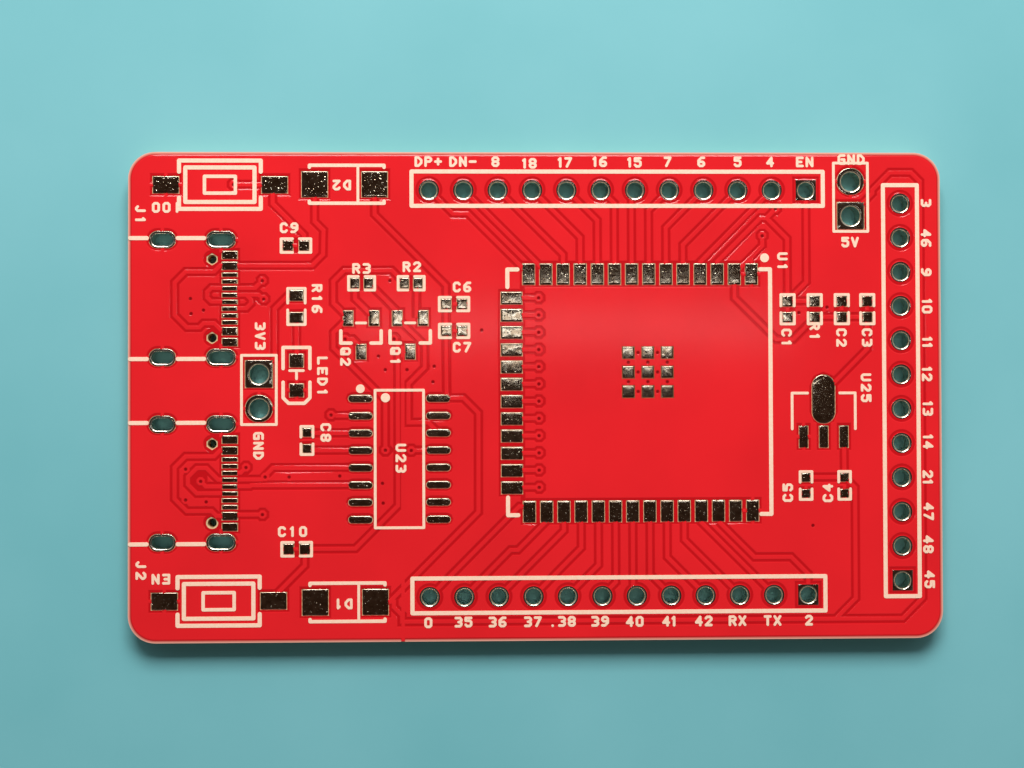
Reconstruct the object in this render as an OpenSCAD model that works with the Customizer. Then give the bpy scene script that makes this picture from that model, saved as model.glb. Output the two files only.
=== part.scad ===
// Bare two-layer development board: a drilled glass-epoxy core, etched copper
// on both faces, red solder mask, tinned pads, plated holes and white legend.
// The origin is at the middle of the underside, +Z is the component side.

/* [Board] */
// Length of the board along X
board_w = 60; // [60:0.5:80]
// Width of the board along Y
board_h = 36; // [36:0.5:60]
// Finished thickness over both solder masks
board_t = 1.6; // [0.8:0.1:2.4]
// Radius of the rounded corners
corner_r = 2; // [0.5:0.1:2.4]

/* [Layers] */
// Thickness of each copper foil
copper_t = 0.035; // [0.018:0.001:0.07]
// Thickness of the solder mask over copper
mask_t = 0.025; // [0.022:0.001:0.04]
// Thickness of the tin on the bare pads
tin_t = 0.02; // [0.005:0.001:0.022]
// Thickness of the white legend ink
ink_t = 0.018; // [0.01:0.001:0.04]
// Thickness of the plating inside a hole
plating_t = 0.04; // [0.02:0.005:0.08]

/* [Copper] */
// Width of a track
track_w = 0.3; // [0.15:0.01:0.34]
// Gap etched between a track or pad and the ground pour
pour_gap = 0.2; // [0.12:0.01:0.24]
// Bare rim left between the pour and the board's edge
edge_gap = 0.25; // [0.1:0.01:0.5]
// Margin of a mask opening round its pad
mask_gap = 0.06; // [0.02:0.01:0.09]
// Width of the spokes that tie a ground pad to the pour
spoke_w = 0.25; // [0.15:0.01:0.3]
// Narrowest sliver that the pour may have
pour_min = 0.14; // [0.08:0.01:0.2]

/* [Pin headers] */
// Distance between pins
pin_pitch = 2.54; // [2:0.01:2.6]
// Pins in each of the three long headers
pin_count = 12; // [10:1:12]
// Diameter of a finished pin hole
pin_hole = 1.1; // [0.8:0.05:1.2]
// Diameter of the copper ring of a pin hole
pin_pad = 1.6; // [1.5:0.05:1.7]
// Diameter of a finished hole of the two supply headers
supply_hole = 1.35; // [1:0.05:1.5]
// Size of a supply header's pads
supply_pad = 2; // [1.7:0.05:2.05]
// Radius that rounds the rim of a plated hole
rim_r = 0.09; // [0.03:0.01:0.15]

/* [Module site] */
// Distance between the module's castellations
module_pitch = 1.27; // [1.2:0.01:1.27]
// Distance between its top and bottom rows
module_span = 17.5; // [17:0.1:18]
// Length of a module pad
module_pad_l = 1.55; // [1.2:0.05:1.7]
// Width of a module pad
module_pad_w = 0.9; // [0.6:0.05:0.95]
// Side of one cell of the thermal pad
thermal_cell = 0.85; // [0.6:0.05:0.95]
// Distance between the cells of the thermal pad
thermal_pitch = 1.44; // [1.4:0.01:1.6]

/* [Ports and chip] */
// Distance between the two rows of shell slots of a port
port_span = 8.65; // [8.6:0.05:8.8]
// Length of a finished shell slot
slot_l = 1.55; // [1.2:0.05:1.6]
// Width of a finished shell slot
slot_w = 0.85; // [0.6:0.05:0.95]
// Copper ring round a shell slot
slot_ring = 0.2; // [0.15:0.01:0.24]
// Diameter of a port's unplated peg hole
peg_hole = 0.66; // [0.5:0.01:0.7]
// Distance between the rows of the serial chip
chip_span = 5.72; // [5.4:0.01:5.9]
// Pitch of the serial chip
chip_pitch = 1.27; // [1.2:0.01:1.27]

/* [Vias] */
// Diameter of a via's drilled hole
via_hole = 0.3; // [0.2:0.01:0.34]
// Diameter of a via's copper ring
via_pad = 0.6; // [0.45:0.01:0.62]

/* [Legend] */
// Width of the heavy legend lines
ink_bold = 0.3; // [0.2:0.01:0.35]
// Width of the fine legend lines
ink_fine = 0.2; // [0.12:0.01:0.24]

/* [Hidden] */

left = -board_w / 2;
right = board_w / 2;
top = board_h / 2;
bottom = -board_h / 2;

// Heights of the layers, from the underside up
foil_low = mask_t;
core_low = foil_low + copper_t;
core_high = board_t - core_low;
foil_high = core_high + copper_t;

round_fn = 64;      // facets of a true round
opening_fn = 24;    // facets of a round gap in the pour
joint_fn = 8;       // facets of a small pad's round end
line_fn = 16;       // facets of a legend line's round end
strips = 8;         // strips that the large outlines are worked out in
overlap = 0.01;     // how far a cutter passes the face it cuts

// Places of the footprints, each from the edge that it belongs to
header_x = 6;
top_header_y = top - 2.8;
bottom_header_y = bottom + 3.25;
right_header = [right - 3, 0.24];
supply_5v = [right - 6.69, top - 3.42];
supply_3v3 = [left + 9.55, 0.4];
module_at = [7.63, 0.23];
module_rows = 14;
module_left_rows = 12;
module_left_offset = 9.53;
thermal_at = module_at + [0.53, 1.5];
thermal_side = 3;
port_y = [7.22, -6.33];
front_slot_x = left + 2.5;
rear_slot_x = left + 6.78;
rear_slot_extra = 0.2;
peg_x = left + 6.13;
peg_span = 5.78;
contact_x = left + 7.42;
contact_l = 1.12;
power_contact_w = 0.58;
signal_contact_w = 0.3;
ground_contact = 3.2;
power_contact = 2.4;
signal_contacts = [1.75, 1.25, 0.75, 0.25, -0.25, -0.75, -1.25, -1.75];
chip_at = [left + 19.83, -4.6];
chip_rows = 8;
chip_pad = [1.75, 0.52];
boot_button = [left + 6.73, top - 2.42];
reset_button = [left + 6.63, bottom + 3.06];
button_span = 7.95;
button_pad = [1.9, 1.25];
diode_2 = [left + 15.84, top - 2.38];
diode_1 = [left + 15.85, bottom + 2.92];
diode_span = 4.4;
diode_pad = [1.9, 1.9];
led_at = [left + 12.3, 1.56];
led_span = 2.18;
led_pad = [1.02, 0.98];
transistor_2 = [left + 17.03, 4.52];
transistor_1 = [left + 20.64, 4.52];
transistor_legs = [1.9, 2.47];
transistor_pad = [0.72, 1.12];
regulator_at = [right - 8.8, -0.3];
regulator_tab = [1.7, 3.6];
regulator_leg = [0.65, 1.6];
regulator_leg_y = -3.08;
regulator_leg_x = 1.5;

// Chip resistors and capacitors: [middle, distance between pads, pad size]
chip_r = [0.66, 0.74];
chip_c = [0.74, 0.74];
chip_small = [0.62, 0.62];
small_gap = 1.0;
wide_gap = 1.18;
resistor_16 = [[left + 12.3, 6.62], [0, 1.62], [1.02, 0.78]];
resistor_3 = [[left + 17.08, 8.32], [small_gap, 0], chip_r];
resistor_2 = [[left + 20.72, 8.32], [small_gap, 0], chip_r];
resistor_1 = [[right - 9.42, 6.36], [0, wide_gap], chip_c];
capacitor_1 = [[right - 11.44, 6.36], [0, wide_gap], chip_c];
capacitor_2 = [[right - 7.4, 6.36], [0, wide_gap], chip_c];
capacitor_3 = [[right - 5.5, 6.36], [0, wide_gap], chip_c];
capacitor_4 = [[right - 7.28, -6.69], [0, wide_gap], chip_small];
capacitor_5 = [[right - 10.15, -6.69], [0, wide_gap], chip_small];
capacitor_6 = [[left + 23.87, 6.78], [wide_gap, 0], chip_c];
capacitor_7 = [[left + 23.87, 4.8], [wide_gap, 0], chip_c];
capacitor_8 = [[left + 13.06, -3.22], [0, wide_gap], chip_small];
capacitor_9 = [[left + 12.27, 11.1], [wide_gap, 0], chip_c];
capacitor_10 = [[left + 12.3, -11.18], [wide_gap, 0], chip_c];
resistors = [resistor_16, resistor_3, resistor_2, resistor_1];
capacitors = [
  capacitor_1, capacitor_2, capacitor_3, capacitor_4, capacitor_5,
  capacitor_6, capacitor_7, capacitor_8, capacitor_9, capacitor_10
];

// One place in a row of n, counted from its middle
function step(n, pitch, i) = (i - (n - 1) / 2) * pitch;
function top_pin(i) = [header_x + step(pin_count, pin_pitch, i), top_header_y];
function bottom_pin(i) = [header_x + step(pin_count, pin_pitch, i), bottom_header_y];
function right_pin(i) = right_header - [0, step(pin_count, pin_pitch, i)];
function supply_pin(at, i) = at + [0, step(2, pin_pitch, i)];
function module_top(i) = module_at + [step(module_rows, module_pitch, i), module_span / 2];
function module_bottom(i) = module_at + [step(module_rows, module_pitch, i), -module_span / 2];
function module_left(i) =
  module_at - [module_left_offset, step(module_left_rows, module_pitch, i)];
function module_via(i) = module_left(i) + [2, 0];
function contact(port, offset) = [contact_x, port_y[port] + offset];
function front_slot(port, side) = [front_slot_x, port_y[port] + side * port_span / 2];
function rear_slot(port, side) = [rear_slot_x, port_y[port] + side * port_span / 2];
function peg(port, side) = [peg_x, port_y[port] + side * peg_span / 2];
function chip_leg(side, i) = chip_at + [side * chip_span / 2, -step(chip_rows, chip_pitch, i)];
function button_leg(at, side) = at + [side * button_span / 2, 0];
function diode_leg(at, side) = at + [side * diode_span / 2, 0];
function led_leg(side) = led_at + [0, side * led_span / 2];
function transistor_leg(at, side) = at + [side * transistor_legs.x / 2, transistor_legs.y / 2];
function transistor_foot(at) = at - [0, transistor_legs.y / 2];
function regulator_pin(side) = [regulator_at.x + side * regulator_leg_x, regulator_leg_y];
// The pad of a chip part on its + side (right or top) or - side
function near_pad(part, side) = part[0] + side * part[1] / 2;

// Runs from a to b on horizontals, verticals and 45 degree lines: straight
// for s, then the diagonal, then straight again.
function bend(a, b, s = 0) =
  let (
    d = b - a,
    m = min(abs(d.x), abs(d.y)),
    flat = abs(d.x) > abs(d.y),
    ahead = flat ? [sign(d.x), 0] : [0, sign(d.y)],
    turn = a + ahead * s
  )
  [a, turn, turn + m * [sign(d.x), sign(d.y)], b];
// Runs from a by the given moves, then to b
function walk(a, moves, b) =
  let (n = len(moves))
  [
    for (i = [0 : n])
      a + (i == 0 ? [0, 0] : [for (axis = [0, 1]) sum([for (k = [0 : i - 1]) moves[k][axis]])]),
    b
  ];
function sum(v, i = 0) = i < len(v) ? v[i] + sum(v, i + 1) : 0;

// Straight as far as it can, then the diagonal into b
function late_bend(a, b) =
  let (d = b - a) bend(a, b, abs(abs(d.x) - abs(d.y)));

// Vias, first those of the signals
via_enable = [17.7, top - 4.2];
via_3v3 = module_top(12) + [2.09, 2.82];
via_chip_left = chip_leg(-1, 1) + [-2.15, 0.05];
via_serial_a = chip_at + [-1.03, 0.63];
via_serial_b = chip_at + [0.87, 0.6];
via_boot = boot_button + [0.97, 0];
via_transistor_2 = [left + 15.85, 4.2];
via_transistor_1 = [left + 19.45, 4.2];
via_data_p = [left + 9.8, port_y[0] + 1.28];
via_data_n = [left + 9.9, port_y[0] - 0.07];
via_port_2_in = [left + 5.3, port_y[1] + 0.13];
via_port_2_out = [left + 8.6, port_y[1] + 1.13];
via_port_2_power = [left + 9.8, port_y[1] - 2.32];
module_vias = [for (i = [0 : module_left_rows - 1]) module_via(i)];
signal_vias = concat(module_vias, [
  via_enable, via_3v3, via_chip_left, via_serial_a, via_serial_b, via_boot,
  via_transistor_2, via_transistor_1, via_data_p, via_data_n,
  via_port_2_in, via_port_2_out, via_port_2_power
]);
thermal_vias = [
  for (i = [0 : thermal_side - 1], k = [0 : thermal_side - 2], turned = [false, true])
    let (
      across = step(thermal_side, thermal_pitch, i),
      along = step(thermal_side - 1, thermal_pitch, k)
    )
    thermal_at + (turned ? [along, across] : [across, along])
];
stitch_vias = [
  [left + 4.55, 7.2], [left + 5.5, 6.35], [left + 4.6, 6.1],
  [left + 4.2, -5.3], [left + 4.2, -7.55], [left + 5.7, -7.7],
  [left + 10, -5.9], [left + 11.75, -5.9], [left + 15.45, -5.85],
  [left + 18.3, 2.95], [left + 18.8, 1.95], [left + 20.4, 1.95],
  [left + 22.4, 2.2], [left + 22.3, 1.05], [left + 19.15, 8.5],
  [left + 25.9, 4.85], chip_at + [-1.25, -1.8], chip_at + [-1.2, -3.25],
  [right - 10.6, 6.1], [right - 8.5, 6.5], [right - 9.65, -9.65]
];
ground_vias = concat(thermal_vias, stitch_vias);
all_vias = concat(signal_vias, ground_vias);

// Through holes: [place, hole, pad, square pad, ground]
function header_set(at, square_index, hole, pad, ground_index = -1) = [
  for (i = [0 : len(at) - 1]) [at[i], hole, pad, i == square_index, i == ground_index]
];
pins = [0 : pin_count - 1];
top_set = header_set([for (i = pins) top_pin(i)], pin_count - 1, pin_hole, pin_pad);
bottom_set = header_set([for (i = pins) bottom_pin(i)], pin_count - 1, pin_hole, pin_pad);
right_set = header_set([for (i = pins) right_pin(i)], pin_count - 1, pin_hole, pin_pad);
supply_5v_set =
  header_set([for (i = [0, 1]) supply_pin(supply_5v, i)], 0, supply_hole, supply_pad, 1);
supply_3v3_set =
  header_set([for (i = [0, 1]) supply_pin(supply_3v3, i)], 1, supply_hole, supply_pad, 0);
hole_set = concat(top_set, bottom_set, right_set, supply_5v_set, supply_3v3_set);
// Shell slots of a port: [place, length]
function slot_set(port) = [
  for (side = [-1, 1], rear = [false, true])
    [rear ? rear_slot(port, side) : front_slot(port, side), slot_l + (rear ? rear_slot_extra : 0)]
];
port_slots = concat(slot_set(0), slot_set(1));
pegs = [for (port = [0, 1], side = [-1, 1]) peg(port, side)];

// Surface pads: [place, size, round ends, ground]
function module_row_set(places, size) = [
  for (i = [0 : len(places) - 1]) [places[i], size, false, false]
];
module_upright = [module_pad_w, module_pad_l];
module_top_set = [
  for (i = [0 : module_rows - 1]) [module_top(i), module_upright, false, i == module_rows - 1]
];
module_bottom_set = [
  for (i = [0 : module_rows - 1]) [module_bottom(i), module_upright, false, i == module_rows - 1]
];
module_left_set = [
  for (i = [0 : module_left_rows - 1])
    [module_left(i), [module_pad_l, module_pad_w], false, false]
];
thermal_set = [
  for (i = [0 : thermal_side - 1], k = [0 : thermal_side - 1])
    [
      thermal_at + [step(thermal_side, thermal_pitch, i), step(thermal_side, thermal_pitch, k)],
      [thermal_cell, thermal_cell], false, false
    ]
];
function contact_set(port) = concat(
  [for (side = [-1, 1])
    [contact(port, side * ground_contact), [contact_l, power_contact_w], false, false]],
  [for (side = [-1, 1])
    [contact(port, side * power_contact), [contact_l, power_contact_w], false, false]],
  [for (offset = signal_contacts)
    [contact(port, offset), [contact_l, signal_contact_w], false, false]]
);
chip_set = [
  for (side = [-1, 1], i = [0 : chip_rows - 1]) [chip_leg(side, i), chip_pad, true, false]
];
regulator_set = [
  [regulator_at, regulator_tab, true, false],
  [[regulator_at.x, regulator_leg_y], regulator_leg, false, false],
  [regulator_pin(-1), regulator_leg, false, true],
  [regulator_pin(1), regulator_leg, false, false]
];
transistor_set = [
  for (at = [transistor_1, transistor_2], leg = [-1, 0, 1])
    [leg == 0 ? transistor_foot(at) : transistor_leg(at, leg), transistor_pad, false, false]
];
boot_set = [for (side = [-1, 1]) [button_leg(boot_button, side), button_pad, false, side < 0]];
reset_set = [for (side = [-1, 1]) [button_leg(reset_button, side), button_pad, false, side < 0]];
diode_set = [
  for (at = [diode_1, diode_2], side = [-1, 1]) [diode_leg(at, side), diode_pad, false, false]
];
led_set = [for (side = [-1, 1]) [led_leg(side), led_pad, false, side < 0]];
function chip_part_set(part, ground_side = 0) = [
  for (side = [-1, 1]) [near_pad(part, side), part[2], false, side == ground_side]
];
resistor_set = [for (part = resistors) each chip_part_set(part)];
// Which pad of each capacitor is tied to the pour
capacitor_ground = [-1, 1, 1, -1, -1, 1, 1, 0, -1, -1];
capacitor_set = [
  for (i = [0 : len(capacitors) - 1]) each chip_part_set(capacitors[i], capacitor_ground[i])
];
pad_set = concat(
  module_top_set, module_bottom_set, module_left_set, contact_set(0), contact_set(1), chip_set,
  regulator_set, transistor_set, boot_set, reset_set, diode_set, led_set, resistor_set,
  capacitor_set
);

// The supply rail that runs round the board's edge
rail_y = bottom + 1.45;
rail_x = right - 1.5;
rail_cut = 1.5;

// A port's supply passes its contacts on the outside, round to the other one
function power_loop(port, back) =
  let (
    at = [left, port_y[port]],
    start = contact(port, power_contact),
    back_y = back[0].y
  )
  concat(
    [start, start - [0.7, 0], start - [1.15, 0.45]],
    [
      at + [4.2, 1.95], at + [3.4, 1.15], at + [3.4, back_y + 0.9], at + [4.3, back_y]
    ],
    [for (p = back) at + p],
    [contact(port, -power_contact)]
  );

top_routes = concat(
  // Top header to the module
  [concat([top_pin(0)], late_bend(top_pin(0) + [1.75, -1.75], module_top(0)))],
  [for (i = [1 : pin_count - 2]) bend(top_pin(i), module_top(i))],
  // Enable line
  [
    concat(
      walk(module_top(11), [[0, 0.9], [3.23, 3.23]], via_enable - [0.67, 0.7]),
      bend(via_enable - [0.67, 0.7], near_pad(capacitor_1, 1))
    ),
    bend(via_enable - [0.67, 0.7], via_enable),
    late_bend(top_pin(pin_count - 1), near_pad(capacitor_1, 1)),
    [near_pad(capacitor_1, 1), near_pad(resistor_1, 1)]
  ],
  // Regulated supply
  [
    late_bend(via_3v3, module_top(12)),
    concat(
      [module_top(12)],
      bend(module_top(12) - [0, 1.77], module_top(12) + [3.1, -4.87]),
      bend(module_top(12) + [4.35, -4.87], near_pad(resistor_1, -1))
    ),
    [near_pad(resistor_1, -1), near_pad(capacitor_2, -1), near_pad(capacitor_3, -1)],
    late_bend(near_pad(capacitor_3, -1), regulator_at + [0, 0.4]),
    concat(
      [near_pad(resistor_16, 1)],
      bend(near_pad(resistor_16, 1) - [0.6, 0], [left + 10.7, supply_pin(supply_3v3, 1).y + 1.15]),
      [supply_pin(supply_3v3, 1)]
    ),
    [near_pad(resistor_16, -1), led_leg(1)]
  ],
  // Five volt supply
  [
    [regulator_pin(1), near_pad(capacitor_4, 1)],
    [near_pad(capacitor_5, 1), near_pad(capacitor_4, 1)],
    concat(
      bend(near_pad(capacitor_4, 1), [right - 6.5, rail_y + rail_cut]),
      [[right - 6.5 - rail_cut, rail_y]]
    ),
    concat(
      [diode_leg(diode_1, 1)],
      bend(diode_leg(diode_1, 1) + [1.35, 0], [left + 20, rail_y], 0.4),
      bend([left + 20, rail_y], [rail_x, rail_y + rail_cut], rail_x - left - 20 - rail_cut),
      [
        [rail_x, top - rail_cut - 0.65], [rail_x - 0.65, top - rail_cut],
        [right - 3.75, top - rail_cut]
      ],
      late_bend([right - 5.05, top - rail_cut - 1.3], supply_pin(supply_5v, 0))
    ),
    [near_pad(capacitor_6, -1), near_pad(capacitor_7, -1), chip_leg(1, 0) + [0.62, 0]],
    bend(diode_leg(diode_2, 1), near_pad(capacitor_6, -1), 2.25),
    concat(
      bend(chip_leg(1, 0), [left + 25.62, chip_leg(1, 0).y - 1.1], 1.85),
      late_bend([left + 25.62, chip_leg(1, 0).y - 1.1], diode_leg(diode_1, 1) + [1.05, 0])
    )
  ],
  // Bottom header to the module
  [
    [bottom_pin(0), bottom_pin(0) + [6.6, 6.6], module_bottom(0) + [0, 0.36]],
    concat(
      bend(bottom_pin(1), bottom_pin(1) + [3.4, 3.4]),
      bend(bottom_pin(1) + [3.95, 3.4], module_bottom(1))
    )
  ],
  [for (i = [2 : pin_count - 2]) bend(bottom_pin(i), module_bottom(i))],
  [
    concat(
      bend(module_bottom(11) - [0, 0.8], module_bottom(11) + [2.65, -3.45]),
      bend(
        [bottom_pin(pin_count - 1).x - 1.26, module_bottom(11).y - 3.45],
        bottom_pin(pin_count - 1)
      )
    )
  ],
  [for (i = [0 : module_left_rows - 1]) [module_left(i), module_via(i)]],
  // Boot button, reset button and the two switching transistors
  [
    [via_boot, button_leg(boot_button, 1)],
    bend(button_leg(boot_button, 1) - [0.14, 0], near_pad(capacitor_9, 1), 1.42),
    bend(button_leg(reset_button, 1) + [0.2, 0.45], near_pad(capacitor_10, 1)),
    concat(
      bend(near_pad(capacitor_10, 1), chip_at + [-0.1, -3.45], 3.7),
      late_bend(chip_at + [-0.1, -3.45], via_transistor_1)
    ),
    bend(chip_at + [-0.1, 7.88], transistor_foot(transistor_1)),
    bend(transistor_foot(transistor_2) + [0, 0.3], via_transistor_2),
    concat(
      bend(transistor_leg(transistor_2, -1), [left + 15, 3.55]),
      bend([left + 15, 3.55], via_serial_a)
    ),
    concat(
      bend(transistor_leg(transistor_2, -1), [left + 15, 8.45]),
      bend([left + 15, 8.45], near_pad(resistor_2, -1) + [-0.93, 0.93]),
      [near_pad(resistor_2, -1)]
    ),
    late_bend(near_pad(resistor_3, -1), transistor_leg(transistor_2, 1)),
    bend(near_pad(resistor_3, 1), transistor_leg(transistor_1, -1)),
    [near_pad(resistor_2, 1) - [0.12, 0], transistor_leg(transistor_1, 1) + [-0.48, 0]],
    concat(
      bend(transistor_leg(transistor_1, -1), [left + 21.7, 2.1]),
      bend([left + 21.7, 2.1], [left + 20.5, chip_leg(1, 2).y + 0.75]),
      late_bend([left + 20.5, chip_leg(1, 2).y + 0.75], chip_leg(1, 2))
    ),
    bend(via_serial_b, chip_leg(1, 3))
  ],
  // Serial chip
  [
    bend(via_chip_left, chip_leg(-1, 1)),
    bend(near_pad(capacitor_8, 1), chip_leg(-1, 2)),
    bend(near_pad(capacitor_8, -1), chip_leg(-1, 3)),
    concat(
      bend(chip_leg(-1, 4), contact(1, 0.25) + [1.45, 0], 6.4),
      [contact(1, 0.25)]
    ),
    bend(chip_leg(-1, 5), contact(1, -0.25), 8)
  ],
  // Ports
  [
    power_loop(0, [[5.2, -2.15], [5.5, -1.85], [6.3, -1.85], [6.8, -2.35]]),
    power_loop(1, [[6.1, -2.05], [6.45, -2.4]])
  ],
  [
    concat(
      bend(contact(0, power_contact), contact(0, power_contact) + [6.83, 0.8], 6.03),
      bend([diode_leg(diode_2, -1).x + 0.65, top - 5.8], diode_leg(diode_2, -1))
    ),
    // The two data lines of the first port, each joined by a loop
    [
      contact(0, 0.75), contact(0, 0.75) - [1.35, 0], contact(0, 0.45) - [1.65, 0],
      contact(0, 0.05) - [1.65, 0], contact(0, -0.25) - [1.35, 0], contact(0, -0.25)
    ],
    bend(contact(0, 0.75), via_data_p, 1.85),
    [
      contact(0, 0.25), contact(0, 0.25) + [1.2, 0], contact(0, -0.1) + [1.55, 0],
      contact(0, -0.4) + [1.55, 0], contact(0, -0.75) + [1.2, 0], contact(0, -0.75)
    ],
    bend(contact(0, 0.25), via_data_n, 2.1),
    // The data lines of the second port
    [
      contact(1, 0.25), contact(1, 0.25) - [0.85, 0], contact(1, 1.1) - [1.7, 0],
      contact(1, 1.1) - [2.4, 0], contact(1, 0.45) - [3.05, 0], contact(1, -0.1) - [3.05, 0],
      contact(1, -0.75) - [2.4, 0], contact(1, -0.75)
    ],
    bend(via_port_2_in, contact(1, -0.25)),
    bend(via_port_2_out, contact(1, 0.75)),
    late_bend(via_port_2_power, contact(1, -power_contact))
  ]
);

// Where the module's left column dips under the thermal vias on its way right
dip_row = 5;
fan_x = module_via(0).x + 0.9;
boot_corner = [left + 8.7, 5.4];
enable_corner = [left + 28, top - 5.2];
bottom_routes = concat(
  [
    for (i = [0 : module_left_rows - 1])
      i == dip_row
        ? concat(
            bend(module_via(i), [fan_x + 1.1, thermal_at.y - 2.0], 0.9),
            late_bend([thermal_at.x + 2.6, thermal_at.y - 2.0], [thermal_at.x + 4.38, right_pin(i).y]),
            [right_pin(i)]
          )
        : bend(module_via(i), right_pin(i), 0.9)
  ],
  [
    bend(via_data_p, top_pin(0), 5.5),
    bend(via_data_n, top_pin(1), 6.6),
    concat(
      bend(via_boot, boot_corner),
      bend(boot_corner, via_transistor_2)
    ),
    late_bend(via_transistor_2, bottom_pin(0)),
    concat(
      bend(via_transistor_1, enable_corner),
      late_bend(enable_corner, via_enable)
    ),
    bend(via_serial_a, via_serial_b)
  ]
);

core_colour = "#b9a66a";
copper_colour = "#b87333";
mask_colour = "#e02a30";
tin_colour = "#a9a89e";
ink_colour = "#fff3e2";

// A bar with round ends, l long over all
module pill(l, w, fn) {
  square([l - w, w], center = true);
  for (s = [-1, 1]) translate([s * (l - w) / 2, 0]) circle(d = w, $fn = fn);
}

// Flat shape of each pad of a set, grown by a margin
module pads_2d(set, grow, fn) {
  for (pad = set) {
    size = pad[1] + 2 * [grow, grow];
    translate(pad[0])
      if (!pad[2]) square(size, center = true);
      else if (size.x > size.y) pill(size.x, size.y, fn);
      else rotate(90) pill(size.y, size.x, fn);
  }
}

// Flat rings of a set of round holes, the square ones with their corners
module rings_2d(set, grow, fn) {
  for (hole = set) {
    size = hole[2] + 2 * grow;
    translate(hole[0])
      if (hole[3]) square(size, center = true);
      else circle(d = size, $fn = fn);
  }
}

module slots_2d(set, grow, fn) {
  for (slot = set) translate(slot[0]) pill(slot[1] + 2 * grow, slot_w + 2 * grow, fn);
}

module discs_2d(places, d, fn) {
  for (p = places) translate(p) circle(d = d, $fn = fn);
}

// Via rings, as octagons whose flats face the tracks
module vias_2d(places, d) {
  for (p = places) translate(p) rotate(22.5) circle(d = d / cos(22.5), $fn = 8);
}

function unit(v) = v / norm(v);

// Point at one side of a route of width w, at its point i, with mitred bends
function route_side(route, w, i, side) =
  let (
    last = len(route) - 1,
    a = unit(route[min(i, last - 1) + 1] - route[min(i, last - 1)]),
    b = unit(route[max(i, 1)] - route[max(i, 1) - 1]),
    across = [-a.y - b.y, a.x + b.x] / (1 + a * b)
  )
  route[i] + side * w / 2 * across;

// The same points without any that all but repeat the one before
function distinct(route) = [
  for (i = [0 : len(route) - 1])
    if (i == 0 || norm(route[i] - route[max(i, 1) - 1]) > track_w / 6) route[i]
];

// A track of the given width along each route
module routes_2d(routes, w) {
  for (points = routes) {
    route = distinct(points);
    for (i = [0 : len(route) - 2])
      polygon([
        route_side(route, w, i, 1), route_side(route, w, i + 1, 1),
        route_side(route, w, i + 1, -1), route_side(route, w, i, -1)
      ]);
  }
}

// Spokes of width spoke_w that carry a ground pad in the pour
module spokes_2d(at, size) {
  reach = 2 * (pour_gap + pour_min);
  translate(at) {
    square([size.x + reach, spoke_w], center = true);
    square([spoke_w, size.y + reach], center = true);
  }
}

module board_2d(inset = 0) {
  r = corner_r - inset;
  square([board_w - 2 * inset, board_h - 2 * corner_r], center = true);
  square([board_w - 2 * corner_r, board_h - 2 * inset], center = true);
  for (x = [-1, 1], y = [-1, 1])
    translate([x * (board_w / 2 - corner_r), y * (board_h / 2 - corner_r)])
      circle(r, $fn = round_fn);
}

// Everything that goes through the board and is plated
module plated_2d(grow, fn) {
  rings_2d(hole_set, grow, fn);
  slots_2d(port_slots, slot_ring + grow, fn);
}

// Removes slivers narrower than pour_min
module etch_2d() {
  offset(delta = pour_min / 2) offset(delta = -pour_min / 2) children();
}

// Works out a large outline strip by strip across the board
module by_strips() {
  w = board_w / strips;
  for (i = [0 : strips - 1])
    offset(delta = 0) intersection() {
      children();
      translate([left + i * w, bottom]) square([w, board_h]);
    }
}

module top_pour_2d() {
  etch_2d() difference() {
    union() {
      difference() {
        board_2d(edge_gap);
        plated_2d(pour_gap, opening_fn);
        pads_2d(pad_set, pour_gap, joint_fn);
        routes_2d(top_routes, track_w + 2 * pour_gap);
        vias_2d(signal_vias, via_pad + 2 * pour_gap);
        discs_2d(pegs, peg_hole + 4 * mask_gap + 2 * pour_gap, opening_fn);
      }
      for (pad = pad_set) if (pad[3]) spokes_2d(pad[0], pad[1]);
      for (hole = hole_set) if (hole[4]) spokes_2d(hole[0], [hole[2], hole[2]]);
      for (slot = port_slots)
        spokes_2d(slot[0], [slot[1] + 2 * slot_ring, slot_w + 2 * slot_ring]);
    }
    plated_2d(0, opening_fn);
    pads_2d(pad_set, 0, joint_fn);
    pads_2d(thermal_set, 0, joint_fn);
    vias_2d(ground_vias, via_pad);
  }
}

module bottom_pour_2d() {
  etch_2d() difference() {
    union() {
      difference() {
        board_2d(edge_gap);
        plated_2d(pour_gap, opening_fn);
        routes_2d(bottom_routes, track_w + 2 * pour_gap);
        vias_2d(signal_vias, via_pad + 2 * pour_gap);
        discs_2d(pegs, peg_hole + 4 * mask_gap + 2 * pour_gap, opening_fn);
      }
      for (hole = hole_set) if (hole[4]) spokes_2d(hole[0], [hole[2], hole[2]]);
      for (slot = port_slots)
        spokes_2d(slot[0], [slot[1] + 2 * slot_ring, slot_w + 2 * slot_ring]);
    }
    plated_2d(0, opening_fn);
    vias_2d(ground_vias, via_pad);
  }
}

// Tracks stop at the pads, rings and vias that they run into
module top_tracks_2d() {
  etch_2d() difference() {
    routes_2d(top_routes, track_w);
    plated_2d(0, opening_fn);
    pads_2d(pad_set, 0, joint_fn);
    vias_2d(signal_vias, via_pad);
  }
}

module bottom_tracks_2d() {
  etch_2d() difference() {
    routes_2d(bottom_routes, track_w);
    plated_2d(0, opening_fn);
    vias_2d(signal_vias, via_pad);
  }
}

module laminate() {
  color(core_colour) translate([0, 0, core_low])
    linear_extrude(core_high - core_low) difference() {
      board_2d();
      for (hole = hole_set) translate(hole[0]) circle(d = hole[1] + 2 * plating_t, $fn = round_fn);
      slots_2d(port_slots, plating_t, round_fn);
      discs_2d(pegs, peg_hole, round_fn);
      discs_2d(all_vias, via_hole, round_fn);
    }
}

module top_ground_pour() {
  color(copper_colour) translate([0, 0, core_high]) linear_extrude(copper_t)
    by_strips() top_pour_2d();
}

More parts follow.
